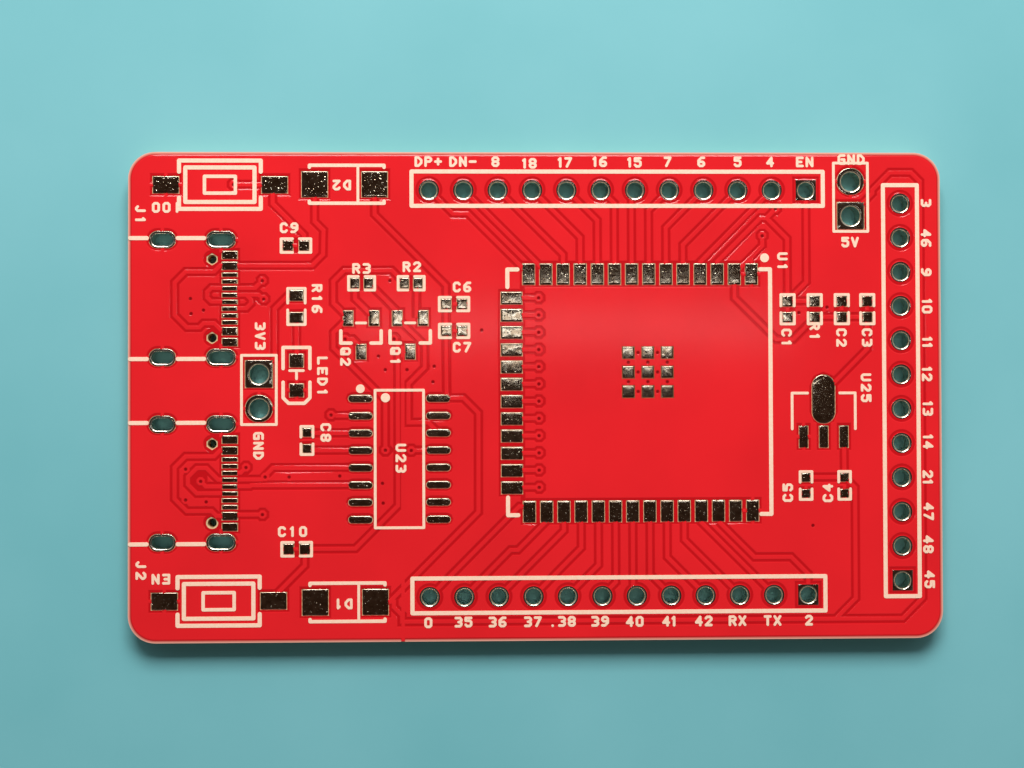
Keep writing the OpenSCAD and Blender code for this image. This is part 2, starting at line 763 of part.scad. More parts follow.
module top_tracks() {
  color(copper_colour) translate([0, 0, core_high]) linear_extrude(copper_t) top_tracks_2d();
}

module bottom_ground_pour() {
  color(copper_colour) translate([0, 0, foil_low]) linear_extrude(copper_t)
    by_strips() bottom_pour_2d();
}

module bottom_tracks() {
  color(copper_colour) translate([0, 0, foil_low]) linear_extrude(copper_t) bottom_tracks_2d();
}

// The mask is open at each pad and ring, and closes over the vias
module top_solder_mask() {
  color(mask_colour) translate([0, 0, foil_high]) linear_extrude(mask_t) difference() {
    board_2d();
    plated_2d(mask_gap, round_fn);
    pads_2d(pad_set, mask_gap, round_fn);
    pads_2d(thermal_set, mask_gap, round_fn);
    discs_2d(pegs, peg_hole + 4 * mask_gap, round_fn);
  }
}

module bottom_solder_mask() {
  color(mask_colour) linear_extrude(mask_t) difference() {
    board_2d();
    plated_2d(mask_gap, round_fn);
    discs_2d(pegs, peg_hole + 4 * mask_gap, round_fn);
  }
}

module via_barrels() {
  color(copper_colour) for (p = all_vias) translate([p.x, p.y, foil_low]) {
    difference() {
      union() {
        cylinder(d = via_hole, h = foil_high - foil_low, $fn = round_fn);
        for (z = [0, foil_high - foil_low - copper_t]) translate([0, 0, z])
          linear_extrude(copper_t) vias_2d([[0, 0]], via_pad);
      }
      translate([0, 0, -overlap])
        cylinder(
          d = via_hole - 2 * plating_t, h = foil_high - foil_low + 2 * overlap, $fn = round_fn
        );
    }
  }
}

// Cuts a bore of diameter d from z = 0 to h, its rims rounded
module rounded_bore(d, h) {
  rotate_extrude($fn = round_fn) {
    translate([0, -overlap]) square([d / 2, h + 2 * overlap]);
    for (end = [0, 1]) translate([d / 2, end * h]) mirror([0, end]) difference() {
      translate([-overlap, -overlap]) square([rim_r + overlap, rim_r + overlap]);
      translate([rim_r, rim_r]) circle(rim_r, $fn = round_fn);
    }
  }
}

// Plated holes of a header: a tube through the core and a tinned ring on
// both faces
module plated_holes(set) {
  low = foil_low - tin_t;
  high = foil_high + tin_t;
  color(tin_colour) for (hole = set) translate([hole[0].x, hole[0].y, 0]) difference() {
    union() {
      translate([0, 0, low])
        cylinder(d = hole[1] + 2 * plating_t, h = high - low, $fn = round_fn);
      for (z = [low, core_high]) translate([0, 0, z])
        linear_extrude(copper_t + tin_t)
          if (hole[3]) square(hole[2], center = true);
          else circle(d = hole[2], $fn = round_fn);
    }
    translate([0, 0, low]) rounded_bore(hole[1], high - low);
  }
}

module shell_slots(set) {
  low = foil_low - tin_t;
  high = foil_high + tin_t;
  color(tin_colour) for (slot = set) translate([slot[0].x, slot[0].y, 0]) difference() {
    union() {
      translate([0, 0, low]) linear_extrude(high - low)
        pill(slot[1] + 2 * plating_t, slot_w + 2 * plating_t, round_fn);
      for (z = [low, core_high]) translate([0, 0, z]) linear_extrude(copper_t + tin_t)
        pill(slot[1] + 2 * slot_ring, slot_w + 2 * slot_ring, round_fn);
    }
    translate([0, 0, low - overlap]) linear_extrude(high - low + 2 * overlap)
      pill(slot[1], slot_w, round_fn);
  }
}

// Tinned surface pads, proud of the core by the foil and the tin
module tinned_pads(set) {
  color(tin_colour) translate([0, 0, core_high]) linear_extrude(copper_t + tin_t)
    pads_2d(set, 0, round_fn);
}

// A line of ink w wide, with round ends and bends
module ink_line_2d(points, w) {
  for (i = [0 : len(points) - 2]) {
    run = points[i + 1] - points[i];
    translate((points[i] + points[i + 1]) / 2) rotate(atan2(run.y, run.x))
      square([norm(run), w], center = true);
  }
  discs_2d(points, w, line_fn);
}

// Legend ink along each line: [points, width]
module inked(lines, dots = []) {
  color(ink_colour) translate([0, 0, board_t]) linear_extrude(ink_t)
    offset(delta = 0) {
      for (line = lines) ink_line_2d(line[0], line[1]);
      for (dot = dots) translate(dot[0]) circle(d = dot[1], $fn = opening_fn);
    }
}
function frame(x0, y0, x1, y1) = [[x0, y0], [x1, y0], [x1, y1], [x0, y1], [x0, y0]];

// Frame round a header whose first and last pins are at a and b
frame_low = 1.17;
frame_high = 1.37;
frame_side = 1.27;
function header_frame(a, b) = frame(
  min(a.x, b.x) - frame_side, min(a.y, b.y) - frame_low,
  max(a.x, b.x) + frame_side, max(a.y, b.y) + frame_high
);

module header_legend() {
  last = pin_count - 1;
  inked([
    [header_frame(top_pin(0), top_pin(last)), ink_bold],
    [header_frame(bottom_pin(0), bottom_pin(last)), ink_bold],
    [header_frame(right_pin(0), right_pin(last)), ink_bold],
    [header_frame(supply_pin(supply_5v, 0), supply_pin(supply_5v, 1)), ink_fine],
    [header_frame(supply_pin(supply_3v3, 0), supply_pin(supply_3v3, 1)), ink_fine]
  ]);
}

// Corners and far side of the module, with a dot at its first pad
module module_legend() {
  x0 = module_left(0).x - 0.3;
  x1 = module_top(module_rows - 1).x + 1.38;
  y0 = module_bottom(0).y - 0.25;
  y1 = module_top(0).y + 0.35;
  tick = 0.75;
  inked([
    [[[x0, y1 - 1.3], [x0, y1], [x0 + tick, y1]], ink_bold],
    [[[x0, y0 + 1.3], [x0, y0], [x0 + tick, y0]], ink_bold],
    [[[x1 - tick, y1], [x1, y1], [x1, y0], [x1 - tick, y0]], ink_bold]
  ], [[[x1 - 0.4, y1 + 0.85], 0.66]]);
}

// Lines that show how far a port's shell reaches, broken at its slots
module port_legend() {
  run = 0.3;
  break_front = slot_l / 2 + 0.35;
  inked([
    for (port = [0, 1], side = [-1, 1])
      let (y = port_y[port] + side * (port_span / 2 + 0.11))
      each [
        [[[left + run / 2, y], [front_slot_x - break_front, y]], ink_bold],
        [[[front_slot_x + break_front, y], [rear_slot_x - break_front - 0.1, y]], ink_bold]
      ]
  ]);
}

// A button: its cap, its body and a clipped frame round them
module button_legend() {
  cap = [1.13, 0.62];
  body = [2.53, 1.27];
  clip = [2.99, 1.78];
  leg = 0.82;
  inked([
    for (at = [boot_button, reset_button])
      let (m = at - [0.02, 0])
      each [
        [frame(m.x - cap.x, m.y - cap.y, m.x + cap.x, m.y + cap.y), ink_bold - 0.05],
        [frame(m.x - body.x, m.y - body.y, m.x + body.x, m.y + body.y), ink_bold],
        each [
          for (side = [-1, 1])
            [
              [
                m + [-clip.x, side * (clip.y - leg)], m + [-clip.x, side * clip.y],
                m + [clip.x, side * clip.y], m + [clip.x, side * (clip.y - leg)]
              ],
              ink_bold
            ]
        ]
      ]
  ]);
}

// Two brackets round the pads of a chip resistor or capacitor
function brackets(part) =
  let (
    at = part[0],
    span = part[1],
    size = part[2],
    margin = 0.13,
    reach = (abs(span.x) + abs(span.y)) / 2,
    upright = span.y != 0,
    far = reach + (upright ? size.y : size.x) / 2 + margin,
    near = 0.25,
    wide = (upright ? size.x : size.y) / 2 + margin,
    turned = function (p) upright ? [p.y, p.x] : p
  )
  [
    for (side = [-1, 1])
      [
        [
          for (p = [[near, wide], [far, wide], [far, -wide], [near, -wide]])
            at + side * turned(p)
        ],
        ink_fine
      ]
  ];

// Outlines of the diodes, the LED, the transistors, the chips and the
// resistors and capacitors
module part_legend() {
  diode_x = [-2.58, 2.9];
  diode_tick = 0.15;
  diode_bar = 0.98;
  diode_y = 1.4;
  led_wide = 0.98;
  led_high = 2.05;
  led_leg_y = 0.5;
  led_chamfer = 0.4;
  chip_box = [1.78, 5.05];
  clip = [1.48, 0.6];
  clip_tick = 0.75;
  cover = [2.35, 0.45];
  inked(concat(
    [
      for (at = [diode_1, diode_2])
        each [
          each [
            for (side = [-1, 1])
              [
                [
                  at + [diode_x[0], side * (diode_y - diode_tick)],
                  at + [diode_x[0], side * diode_y],
                  at + [diode_x[1], side * diode_y],
                  at + [diode_x[1], side * (diode_y - diode_tick)]
                ],
                ink_bold - 0.05
              ]
          ],
          [[at + [diode_bar, -diode_y], at + [diode_bar, diode_y]], ink_fine]
        ]
    ],
    [
      [
        [
          led_at + [-led_wide, led_leg_y], led_at + [-led_wide, led_high],
          led_at + [led_wide, led_high], led_at + [led_wide, led_leg_y]
        ],
        ink_bold - 0.05
      ],
      [
        [
          led_at + [-led_wide, -led_leg_y], led_at + [-led_wide, led_chamfer - led_high],
          led_at + [led_chamfer - led_wide, -led_high],
          led_at + [led_wide - led_chamfer, -led_high],
          led_at + [led_wide, led_chamfer - led_high], led_at + [led_wide, -led_leg_y]
        ],
        ink_bold - 0.05
      ],
      [[led_at + [-0.5, 0.35], led_at + [0.5, 0.35]], ink_fine],
      [[led_at + [0, 0.35], led_at + [0, -0.25]], ink_fine]
    ],
    [
      for (at = [transistor_1, transistor_2])
        each [
          [
            [
              at + [-clip.x, 0.3], at + [-clip.x, -clip.y],
              at + [clip_tick - clip.x, -clip.y]
            ],
            ink_bold - 0.05
          ],
          [
            [
              at + [clip.x, 0.3], at + [clip.x, -clip.y], at + [clip.x - clip_tick, -clip.y]
            ],
            ink_bold - 0.05
          ],
          [[at + [-0.35, 0.88], at + [0.35, 0.88]], ink_fine]
        ]
    ],
    [
      [
        frame(
          chip_at.x - chip_box.x, chip_at.y - chip_box.y,
          chip_at.x + chip_box.x, chip_at.y + chip_box.y
        ),
        ink_fine
      ],
      [
        [
          regulator_at + [-1.2, cover.y], regulator_at + [-cover.x, cover.y],
          regulator_at + [-cover.x, -2.2]
        ],
        ink_fine
      ],
      [
        [
          regulator_at + [1.2, cover.y], regulator_at + [cover.x, cover.y],
          regulator_at + [cover.x, -2.2]
        ],
        ink_fine
      ]
    ],
    [for (part = concat(resistors, capacitors)) each brackets(part)]
  ), [
    [chip_at + [-1.02, 4.5], 0.68],
    [chip_leg(-1, 0) + [0, 0.72], 0.64]
  ]);
}

module top_header_holes() { plated_holes(top_set); }
module bottom_header_holes() { plated_holes(bottom_set); }
module right_header_holes() { plated_holes(right_set); }
module supply_5v_holes() { plated_holes(supply_5v_set); }
module supply_3v3_holes() { plated_holes(supply_3v3_set); }
module port_1_shell_slots() { shell_slots(slot_set(0)); }
module port_2_shell_slots() { shell_slots(slot_set(1)); }
module port_1_contact_pads() { tinned_pads(contact_set(0)); }
module port_2_contact_pads() { tinned_pads(contact_set(1)); }
module module_top_pads() { tinned_pads(module_top_set); }
module module_bottom_pads() { tinned_pads(module_bottom_set); }
module module_left_pads() { tinned_pads(module_left_set); }
module module_thermal_pads() { tinned_pads(thermal_set); }
module serial_chip_pads() { tinned_pads(chip_set); }
module regulator_pads() { tinned_pads(regulator_set); }
module transistor_pads() { tinned_pads(transistor_set); }
module boot_button_pads() { tinned_pads(boot_set); }
module reset_button_pads() { tinned_pads(reset_set); }
module diode_pads() { tinned_pads(diode_set); }
module led_pads() { tinned_pads(led_set); }
module resistor_pads() { tinned_pads(resistor_set); }
module capacitor_pads() { tinned_pads(capacitor_set); }

laminate();
top_ground_pour();
top_tracks();
bottom_ground_pour();
bottom_tracks();
top_solder_mask();
bottom_solder_mask();
via_barrels();
top_header_holes();
bottom_header_holes();
right_header_holes();
supply_5v_holes();
supply_3v3_holes();
port_1_shell_slots();
port_2_shell_slots();
port_1_contact_pads();
port_2_contact_pads();
module_top_pads();
module_bottom_pads();
module_left_pads();
module_thermal_pads();
serial_chip_pads();
regulator_pads();
transistor_pads();
boot_button_pads();
reset_button_pads();
diode_pads();
led_pads();
resistor_pads();
capacitor_pads();
header_legend();
module_legend();
port_legend();
button_legend();
part_legend();
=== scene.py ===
"""Dresses the bare development board: solder mask relief, tinned pads, plated
rings, legend words, materials, floor, lamps and camera."""

import math

import bpy
import numpy as np
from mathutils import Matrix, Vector
from mathutils.bvhtree import BVHTree
from mathutils.geometry import delaunay_2d_cdt


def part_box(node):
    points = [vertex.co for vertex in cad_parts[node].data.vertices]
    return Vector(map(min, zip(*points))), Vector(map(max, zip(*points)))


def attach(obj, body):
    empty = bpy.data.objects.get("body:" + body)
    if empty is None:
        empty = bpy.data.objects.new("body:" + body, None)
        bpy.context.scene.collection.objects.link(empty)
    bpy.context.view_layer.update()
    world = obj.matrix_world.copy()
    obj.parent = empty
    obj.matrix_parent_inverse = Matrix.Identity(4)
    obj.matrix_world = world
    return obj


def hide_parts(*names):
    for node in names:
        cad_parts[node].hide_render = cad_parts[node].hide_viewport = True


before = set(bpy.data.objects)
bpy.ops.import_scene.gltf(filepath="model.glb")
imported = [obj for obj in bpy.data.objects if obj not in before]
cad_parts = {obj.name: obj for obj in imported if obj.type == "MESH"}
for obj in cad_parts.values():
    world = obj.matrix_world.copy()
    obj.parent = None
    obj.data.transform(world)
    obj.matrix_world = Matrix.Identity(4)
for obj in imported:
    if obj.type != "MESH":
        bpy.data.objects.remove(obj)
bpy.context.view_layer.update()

MM = 0.001

# Every length below is in millimetres, above the underside where it is a height
BOARD_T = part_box("top_solder_mask")[1].z / MM
MASK_T = 0.025
FOIL_T = 0.035
TIN_T = 0.02
INK_T = 0.018
CORE_DEPTH = MASK_T + FOIL_T

PAD_NODES = [
    "module_top_pads", "module_bottom_pads", "module_left_pads", "module_thermal_pads",
    "port_1_contact_pads", "port_2_contact_pads", "serial_chip_pads", "regulator_pads",
    "transistor_pads", "boot_button_pads", "reset_button_pads", "diode_pads", "led_pads",
    "resistor_pads", "capacitor_pads",
]
HEADER_NODES = ["top_header_holes", "bottom_header_holes", "right_header_holes"]
RING_NODES = HEADER_NODES + ["supply_5v_holes", "supply_3v3_holes"]
SLOT_NODES = ["port_1_shell_slots", "port_2_shell_slots"]
THROUGH_NODES = RING_NODES + SLOT_NODES + ["via_barrels"]
LEGEND_NODES = ["header_legend", "module_legend", "port_legend", "button_legend",
                "part_legend"]
FOIL_NODES = ["top_ground_pour", "top_tracks", "bottom_ground_pour", "bottom_tracks",
              "via_barrels"]


# ---------------------------------------------------------------- helpers

def linear(code):
    """The linear colour of an sRGB hex code."""
    c = np.array([int(code[i:i + 2], 16) for i in (1, 3, 5)]) / 255
    c = np.where(c <= 0.04045, c / 12.92, ((c + 0.055) / 1.055) ** 2.4)
    return (*c.tolist(), 1.0)


def mesh_object(name, verts, faces, material, smooth=False):
    """A new piece from its corners and arrays of polygons."""
    mesh = bpy.data.meshes.new(name)
    faces = [np.asarray(f, np.int32) for f in faces if len(f)]
    counts = np.concatenate([np.full(len(f), f.shape[1]) for f in faces])
    corners = np.concatenate([f.ravel() for f in faces])
    mesh.vertices.add(len(verts))
    mesh.vertices.foreach_set("co", (np.asarray(verts, float) * MM).ravel())
    mesh.loops.add(len(corners))
    mesh.loops.foreach_set("vertex_index", corners)
    mesh.polygons.add(len(counts))
    mesh.polygons.foreach_set("loop_start", np.r_[0, np.cumsum(counts)[:-1]])
    mesh.polygons.foreach_set("use_smooth", np.full(len(counts), smooth))
    mesh.update(calc_edges=True)
    mesh.materials.append(material)
    obj = bpy.data.objects.new(name, mesh)
    bpy.context.scene.collection.objects.link(obj)
    return obj


def read_mesh(node):
    """A CAD node's merged corners, and its triangles without the empty ones."""
    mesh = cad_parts[node].data
    mesh.calc_loop_triangles()
    verts = np.empty(len(mesh.vertices) * 3, np.float32)
    mesh.vertices.foreach_get("co", verts)
    tris = np.empty(len(mesh.loop_triangles) * 3, np.int32)
    mesh.loop_triangles.foreach_get("vertices", tris)
    verts, index = np.unique(np.round(verts.reshape(-1, 3) / MM, 4), axis=0, return_inverse=True)
    tris = index.reshape(-1)[tris].reshape(-1, 3)
    a, b, c = tris.T
    return verts, tris[(a != b) & (b != c) & (c != a)]


def islands(verts, tris):
    """The corners of each separate solid of a mesh: every corner takes the
    lowest number among its neighbours until nothing changes."""
    label = np.arange(len(verts))
    while True:
        low = label[tris].min(axis=1)
        new = label.copy()
        np.minimum.at(new, tris, low[:, None])
        if (new == label).all():
            break
        label = new
    return [verts[label == k] for k in np.unique(label[np.unique(tris)])]


def rim_edges(tris):
    """The directed edges that only one triangle uses."""
    edges = np.concatenate([tris[:, [0, 1]], tris[:, [1, 2]], tris[:, [2, 0]]])
    _, first, count = np.unique(np.sort(edges, axis=1), axis=0,
                                return_index=True, return_counts=True)
    return edges[first[count == 1]]


def triangulate(points, edges):
    """Delaunay triangles over flat points that keep every edge, cut where
    edges cross."""
    found = delaunay_2d_cdt([Vector(p) for p in points.tolist()], edges.tolist(), [], 0, 1e-5)
    flat = np.array([tuple(v) for v in found[0]])
    tris = np.array(found[2])
    a, b, c = (flat[tris[:, k]] for k in range(3))
    ab, ac = b - a, c - a
    area = ab[:, 0] * ac[:, 1] - ab[:, 1] * ac[:, 0]
    tris[area < 0] = tris[area < 0][:, ::-1]
    return flat, tris[np.abs(area) > 1e-9]


def flat_tree(points, tris):
    """A search tree over flat triangles."""
    raised = np.c_[points[:, :2], np.zeros(len(points))]
    return BVHTree.FromPolygons(raised.tolist(), tris.tolist(), all_triangles=True)


def covered(tree, points):
    """Which flat points lie on a triangle of the tree."""
    down = Vector((0, 0, -1))
    return np.array([tree.ray_cast((x, y, 1), down)[0] is not None for x, y in points.tolist()])


# ---------------------------------------------------------------- materials

def add(tree, kind, inputs=None, **settings):
    """Adds a node; each of its inputs is a value or the output that feeds it."""
    node = tree.nodes.new("ShaderNode" + kind)
    for key, value in settings.items():
        setattr(node, key, value)
    for key, value in (inputs or {}).items():
        if isinstance(value, bpy.types.NodeSocket):
            tree.links.new(value, node.inputs[key])
        else:
            node.inputs[key].default_value = value
    return node


def new_material(name):
    """An empty node material, its tree, its shader and its Object coordinates."""
    material = bpy.data.materials.new(name)
    material.use_nodes = True
    tree = material.node_tree
    tree.nodes.clear()
    shader = add(tree, "BsdfPrincipled")
    add(tree, "OutputMaterial", {"Surface": shader.outputs[0]})
    place = add(tree, "TexCoord").outputs["Object"]
    return material, tree, shader, place


def ramp(tree, factor, stops):
    """The colour that a factor picks from (position, hex colour) stops."""
    node = add(tree, "ValToRGB", {"Fac": factor})
    marks = node.color_ramp.elements
    for i, (position, code) in enumerate(stops):
        mark = marks[i] if i < 2 else marks.new(position)
        mark.position = position
        mark.color = linear(code)
    return node.outputs["Color"]


def per_metre(size_mm):
    """The scale of a noise whose grain has about the given size."""
    return 1 / (size_mm * MM)


def solder_mask():
    """Liquid photo-imaged epoxy mask, curtain-coated and cured: a glossy red
    film, brighter over copper than over the bare core, pale where the cutter
    wore its edge, and darkened by painted shade in the dimple over each via.
    It is clouded over 9 mm, and its orange peel is 1.1 mm across and 1.5
    thousandths of a millimetre high."""
    material, tree, shader, place = new_material("solder_mask_red")
    core_tone_and_via_shade = add(tree, "Attribute", attribute_name="core_tone_and_via_shade").outputs["Fac"]
    rim = add(tree, "Attribute", attribute_name="rim").outputs["Fac"]
    cloud = add(tree, "TexNoise", {"Vector": place, "Scale": per_metre(9), "Detail": 3.0})
    # The darkest stop is painted shade in the dimple over each via; the middle one is the mask's
    # own tone over the bare core.
    body = ramp(tree, core_tone_and_via_shade, [(0.0, "#EC252B"), (0.55, "#CB151C"), (1.0, "#8E0E13")])
    shade = ramp(tree, cloud.outputs["Fac"], [(0.3, "#F2F2F2"), (0.7, "#FFFFFF")])
    mottled = add(tree, "Mix", {"Factor": 1.0, "A": body, "B": shade},
                  data_type="RGBA", blend_type="MULTIPLY")
    edged = add(tree, "Mix", {"Factor": rim, "A": mottled.outputs["Result"],
                              "B": linear("#F2B6A0")}, data_type="RGBA")
    tree.links.new(edged.outputs["Result"], shader.inputs["Base Color"])
    peel = add(tree, "TexNoise", {"Vector": place, "Scale": per_metre(1.1), "Detail": 2.0})
    bump = add(tree, "Bump", {"Height": peel.outputs["Fac"], "Distance": 1.5e-6, "Strength": 1.0})
    tree.links.new(bump.outputs["Normal"], shader.inputs["Normal"])
    shader.inputs["Roughness"].default_value = 0.12
    shader.inputs["IOR"].default_value = 1.5
    shader.inputs["Specular IOR Level"].default_value = 0.3
    return material


def hot_air_tin(name, hues, grain_mm, wave_mm, dross_mm):
    """Hot-air levelled solder: a slowly wavy mirror of tin between two hues.
    Where dross_mm isn't 0, specks of dross 0.13 mm across stand that high."""
    material, tree, shader, place = new_material(name)
    swirl = add(tree, "TexNoise", {"Vector": place, "Scale": per_metre(grain_mm),
                                   "Detail": 1.0, "Distortion": 0.5})
    spots = add(tree, "TexNoise", {"Vector": place, "Scale": per_metre(0.13), "Detail": 1.5})
    colour = ramp(tree, swirl.outputs["Fac"], [(0.35, hues[0]), (0.65, hues[1])])
    tree.links.new(colour, shader.inputs["Base Color"])
    dross = add(tree, "MapRange", {"Value": spots.outputs["Fac"], "From Min": 0.64,
                                   "From Max": 0.76})
    rough = add(tree, "MapRange", {"Value": dross.outputs["Result"],
                                   "To Min": 0.1, "To Max": 0.28})
    tree.links.new(rough.outputs["Result"], shader.inputs["Roughness"])
    raised = add(tree, "Bump", {"Height": dross.outputs["Result"], "Distance": dross_mm * MM,
                                "Strength": 1.0})
    bump = add(tree, "Bump", {"Height": swirl.outputs["Fac"], "Distance": wave_mm * MM,
                              "Strength": 1.0, "Normal": raised.outputs["Normal"]})
    tree.links.new(bump.outputs["Normal"], shader.inputs["Normal"])
    shader.inputs["Metallic"].default_value = 1.0
    return material


def legend_ink():
    """Screened epoxy ink: a matt, warm white paste. The tooth of the mesh is
    0.12 mm across and 3 thousandths of a millimetre high."""
    material, tree, shader, place = new_material("legend_ink_white")
    tooth = add(tree, "TexNoise", {"Vector": place, "Scale": per_metre(0.12), "Detail": 3.0})
    colour = ramp(tree, tooth.outputs["Fac"], [(0.3, "#FFCFB2"), (0.7, "#FFDFC4")])
    tree.links.new(colour, shader.inputs["Base Color"])
    bump = add(tree, "Bump", {"Height": tooth.outputs["Fac"], "Distance": 3e-6, "Strength": 1.0})
    tree.links.new(bump.outputs["Normal"], shader.inputs["Normal"])
    shader.inputs["Roughness"].default_value = 0.55
    return material


def glass_epoxy():
    """Woven glass cloth in epoxy: honey-coloured, with the plies of cloth
    showing as paler lines along a cut edge and as a square weave on a face.
    The threads are 0.5 and 0.45 mm apart and the plies 0.19 mm thick."""
    material, tree, shader, place = new_material("glass_epoxy_core")
    axes = add(tree, "SeparateXYZ", {"Vector": place})
    threads = [add(tree, "Math", {0: axes.outputs[k], 1: 2 * math.pi / (pitch * MM)},
                   operation="MULTIPLY") for k, pitch in enumerate((0.5, 0.45, 0.19))]
    waves = [add(tree, "Math", {0: t.outputs[0]}, operation="SINE") for t in threads]
    weave = add(tree, "Math", {0: waves[0].outputs[0], 1: waves[1].outputs[0]},
                operation="MULTIPLY")
    cloth = add(tree, "Math", {0: weave.outputs[0], 1: waves[2].outputs[0]}, operation="ADD")
    level = add(tree, "MapRange", {"Value": cloth.outputs[0], "From Min": -2.0, "From Max": 2.0})
    colour = ramp(tree, level.outputs["Result"], [(0.2, "#B98F5E"), (0.8, "#E2C596")])
    tree.links.new(colour, shader.inputs["Base Color"])
    shader.inputs["Roughness"].default_value = 0.5
    shader.inputs["IOR"].default_value = 1.55
    return material


def copper_foil():
    """Electro-deposited copper foil: a salmon metal, satin, with a grain drawn
    at 0.2 mm, coarser than the real one, which is too fine to show."""
    material, tree, shader, place = new_material("copper_foil")
    grain = add(tree, "TexNoise", {"Vector": place, "Scale": per_metre(0.2), "Detail": 3.0})
    colour = ramp(tree, grain.outputs["Fac"], [(0.3, "#A8704A"), (0.7, "#D9976A")])
    tree.links.new(colour, shader.inputs["Base Color"])
    shader.inputs["Metallic"].default_value = 1.0
    shader.inputs["Roughness"].default_value = 0.35
    return material


def pale_sheet():
    """Matt vinyl table sheet: pale blue-green, faintly clouded over 25 mm."""
    material, tree, shader, place = new_material("pale_sheet")
    cloud = add(tree, "TexNoise", {"Vector": place, "Scale": per_metre(25), "Detail": 6.0})
    colour = ramp(tree, cloud.outputs["Fac"], [(0.3, "#6FB6BC"), (0.7, "#7DC0C6")])
    tree.links.new(colour, shader.inputs["Base Color"])
    shader.inputs["Roughness"].default_value = 0.6
    shader.inputs["Specular IOR Level"].default_value = 0.4
    return material


MASK = solder_mask()
PAD_TIN = hot_air_tin("pad_tin", ("#B29E86", "#DCD0BC"), 0.5, 0.004, 0.008)
BARREL_TIN = hot_air_tin("barrel_tin", ("#CFC7B4", "#E2DCCE"), 0.9, 0.003, 0.0)
INK = legend_ink()
CORE = glass_epoxy()
COPPER = copper_foil()


# ---------------------------------------------------------------- solder mask

LEVEL_EASE = 0.03


def face_of(node, level, side):
    """The flat outer or inner face of a node: its triangles that look along
    Z to the given side and lie within LEVEL_EASE of a level."""
    verts, tris = read_mesh(node)
    a, b, c = (verts[tris[:, k]] for k in range(3))
    normal = np.cross(b - a, c - a)
    flat = np.abs(normal[:, 2]) > 0.99 * np.linalg.norm(normal, axis=1)
    facing = np.sign(normal[:, 2]) == side
    near = np.abs((a + b + c)[:, 2] / 3 - level) < LEVEL_EASE
    tris = tris[flat & facing & near]
    used, index = np.unique(tris, return_inverse=True)
    tris = index.reshape(-1, 3)
    return verts[used], tris if side > 0 else tris[:, ::-1]


def stacked(parts):
    """Several meshes as one."""
    starts = np.cumsum([0] + [len(v) for v, _ in parts[:-1]])
    return (np.concatenate([v for v, _ in parts]),
            np.concatenate([t + s for (_, t), s in zip(parts, starts)]))


def beside(points, edges, reach):
    """The outline moved sideways by reach, one length or one for each edge, to
    the left of its edges where reach is positive: each corner goes along its
    mitre, (n1 + n2) / (1 + n1.n2), which is cut short where the outline turns
    back. Gives the moved points and the edges between them."""
    step = points[edges[:, 1]] - points[edges[:, 0]]
    step /= np.linalg.norm(step, axis=1)[:, None]
    left = np.c_[-step[:, 1], step[:, 0]]
    begins = np.full(len(points), -1)
    begins[edges[:, 0]] = np.arange(len(edges))
    after = begins[edges[:, 1]]
    before = np.arange(len(edges))
    before[after[after >= 0]] = np.nonzero(after >= 0)[0]
    both = left + left[before]
    mitre = both / np.maximum(1 + (left * left[before]).sum(axis=1), 0.5)[:, None]
    moved = points[edges[:, 0]] + np.reshape(reach, (-1, 1)) * mitre
    links = np.c_[np.arange(len(edges)), after][after >= 0]
    return moved, links


def to_nearest(points, places):
    """The distance from each flat point to the nearest of some places."""
    gap = np.full(len(points), np.inf)
    for place in places:
        gap = np.minimum(gap, np.linalg.norm(points - place, axis=1))
    return gap


def to_edges(points, edges):
    """The distance from each flat point to the nearest of some edges: the
    foot of the perpendicular is kept between the edge's ends."""
    start, along = edges[:, 0], edges[:, 1] - edges[:, 0]
    gaps = []
    for part in np.array_split(points, 1 + len(points) // 400):
        reach = part[:, None] - start
        share = np.clip((reach * along).sum(axis=2) / (along ** 2).sum(axis=1), 0, 1)
        gaps.append(np.linalg.norm(reach - share[:, :, None] * along, axis=2).min(axis=1))
    return np.concatenate(gaps)


VIA_SIDES = 16


def circles(places, radius):
    """Flat circles of VIA_SIDES sides round some places, as points and edges."""
    turn = np.arange(VIA_SIDES) * 2 * np.pi / VIA_SIDES
    ring = radius * np.c_[np.cos(turn), np.sin(turn)]
    index = np.arange(VIA_SIDES * len(places)).reshape(-1, VIA_SIDES)
    edges = np.stack([index, np.roll(index, -1, axis=1)], axis=2).reshape(-1, 2)
    return (places[:, None] + ring).reshape(-1, 2), edges


CORNER_R = 2.0


def inside_board(points):
    """Signed distance to the board's outline, negative inside: the distance
    to a rectangle whose corners are rounded by CORNER_R."""
    low, high = (np.array(c[:2]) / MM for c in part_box("laminate"))
    half = (high - low) / 2
    out = np.abs(points - (low + high) / 2) - (half - CORNER_R)
    return (np.linalg.norm(np.maximum(out, 0), axis=1)
            + np.minimum(out.max(axis=1), 0) - CORNER_R)


MASK_SAG = 0.018      # how much lower the mask lies between copper areas
SLOPE = 0.040         # half width of the slope at a copper edge
RIM_W = 0.055         # width of the worn edge of the mask
RIM_DROP = 0.035      # how far that edge is worn down
PAD_CREEP = 0.045     # how far the mask flows into the opening of a pad
RING_CREEP = 0.105    # and of a header's ring
RING_REACH = 1.3      # past a ring's corners, from the middle of its hole
EDGE_EASE = 0.02      # how near the board's outline an edge of the mask counts as on it
VIA_R = 0.16          # radius of the dimple over a via
VIA_DROP = 0.025
VIA_SHARES = (1.0, 0.8, 0.55, 0.25)
GROOVE_TONE = 0.55    # how far the mask darkens between copper areas
VIA_PAINTED_SHADE_RATE = 2.5        # how fast the painted shade darkens the mask from a via dimple's rim, up to 1

def middles_of(node):
    """The flat middle of each solid of a node."""
    return np.array([v[:, :2].mean(axis=0) for v in islands(*read_mesh(node))])


HEADER_PLACES = np.concatenate([middles_of(node) for node in HEADER_NODES])


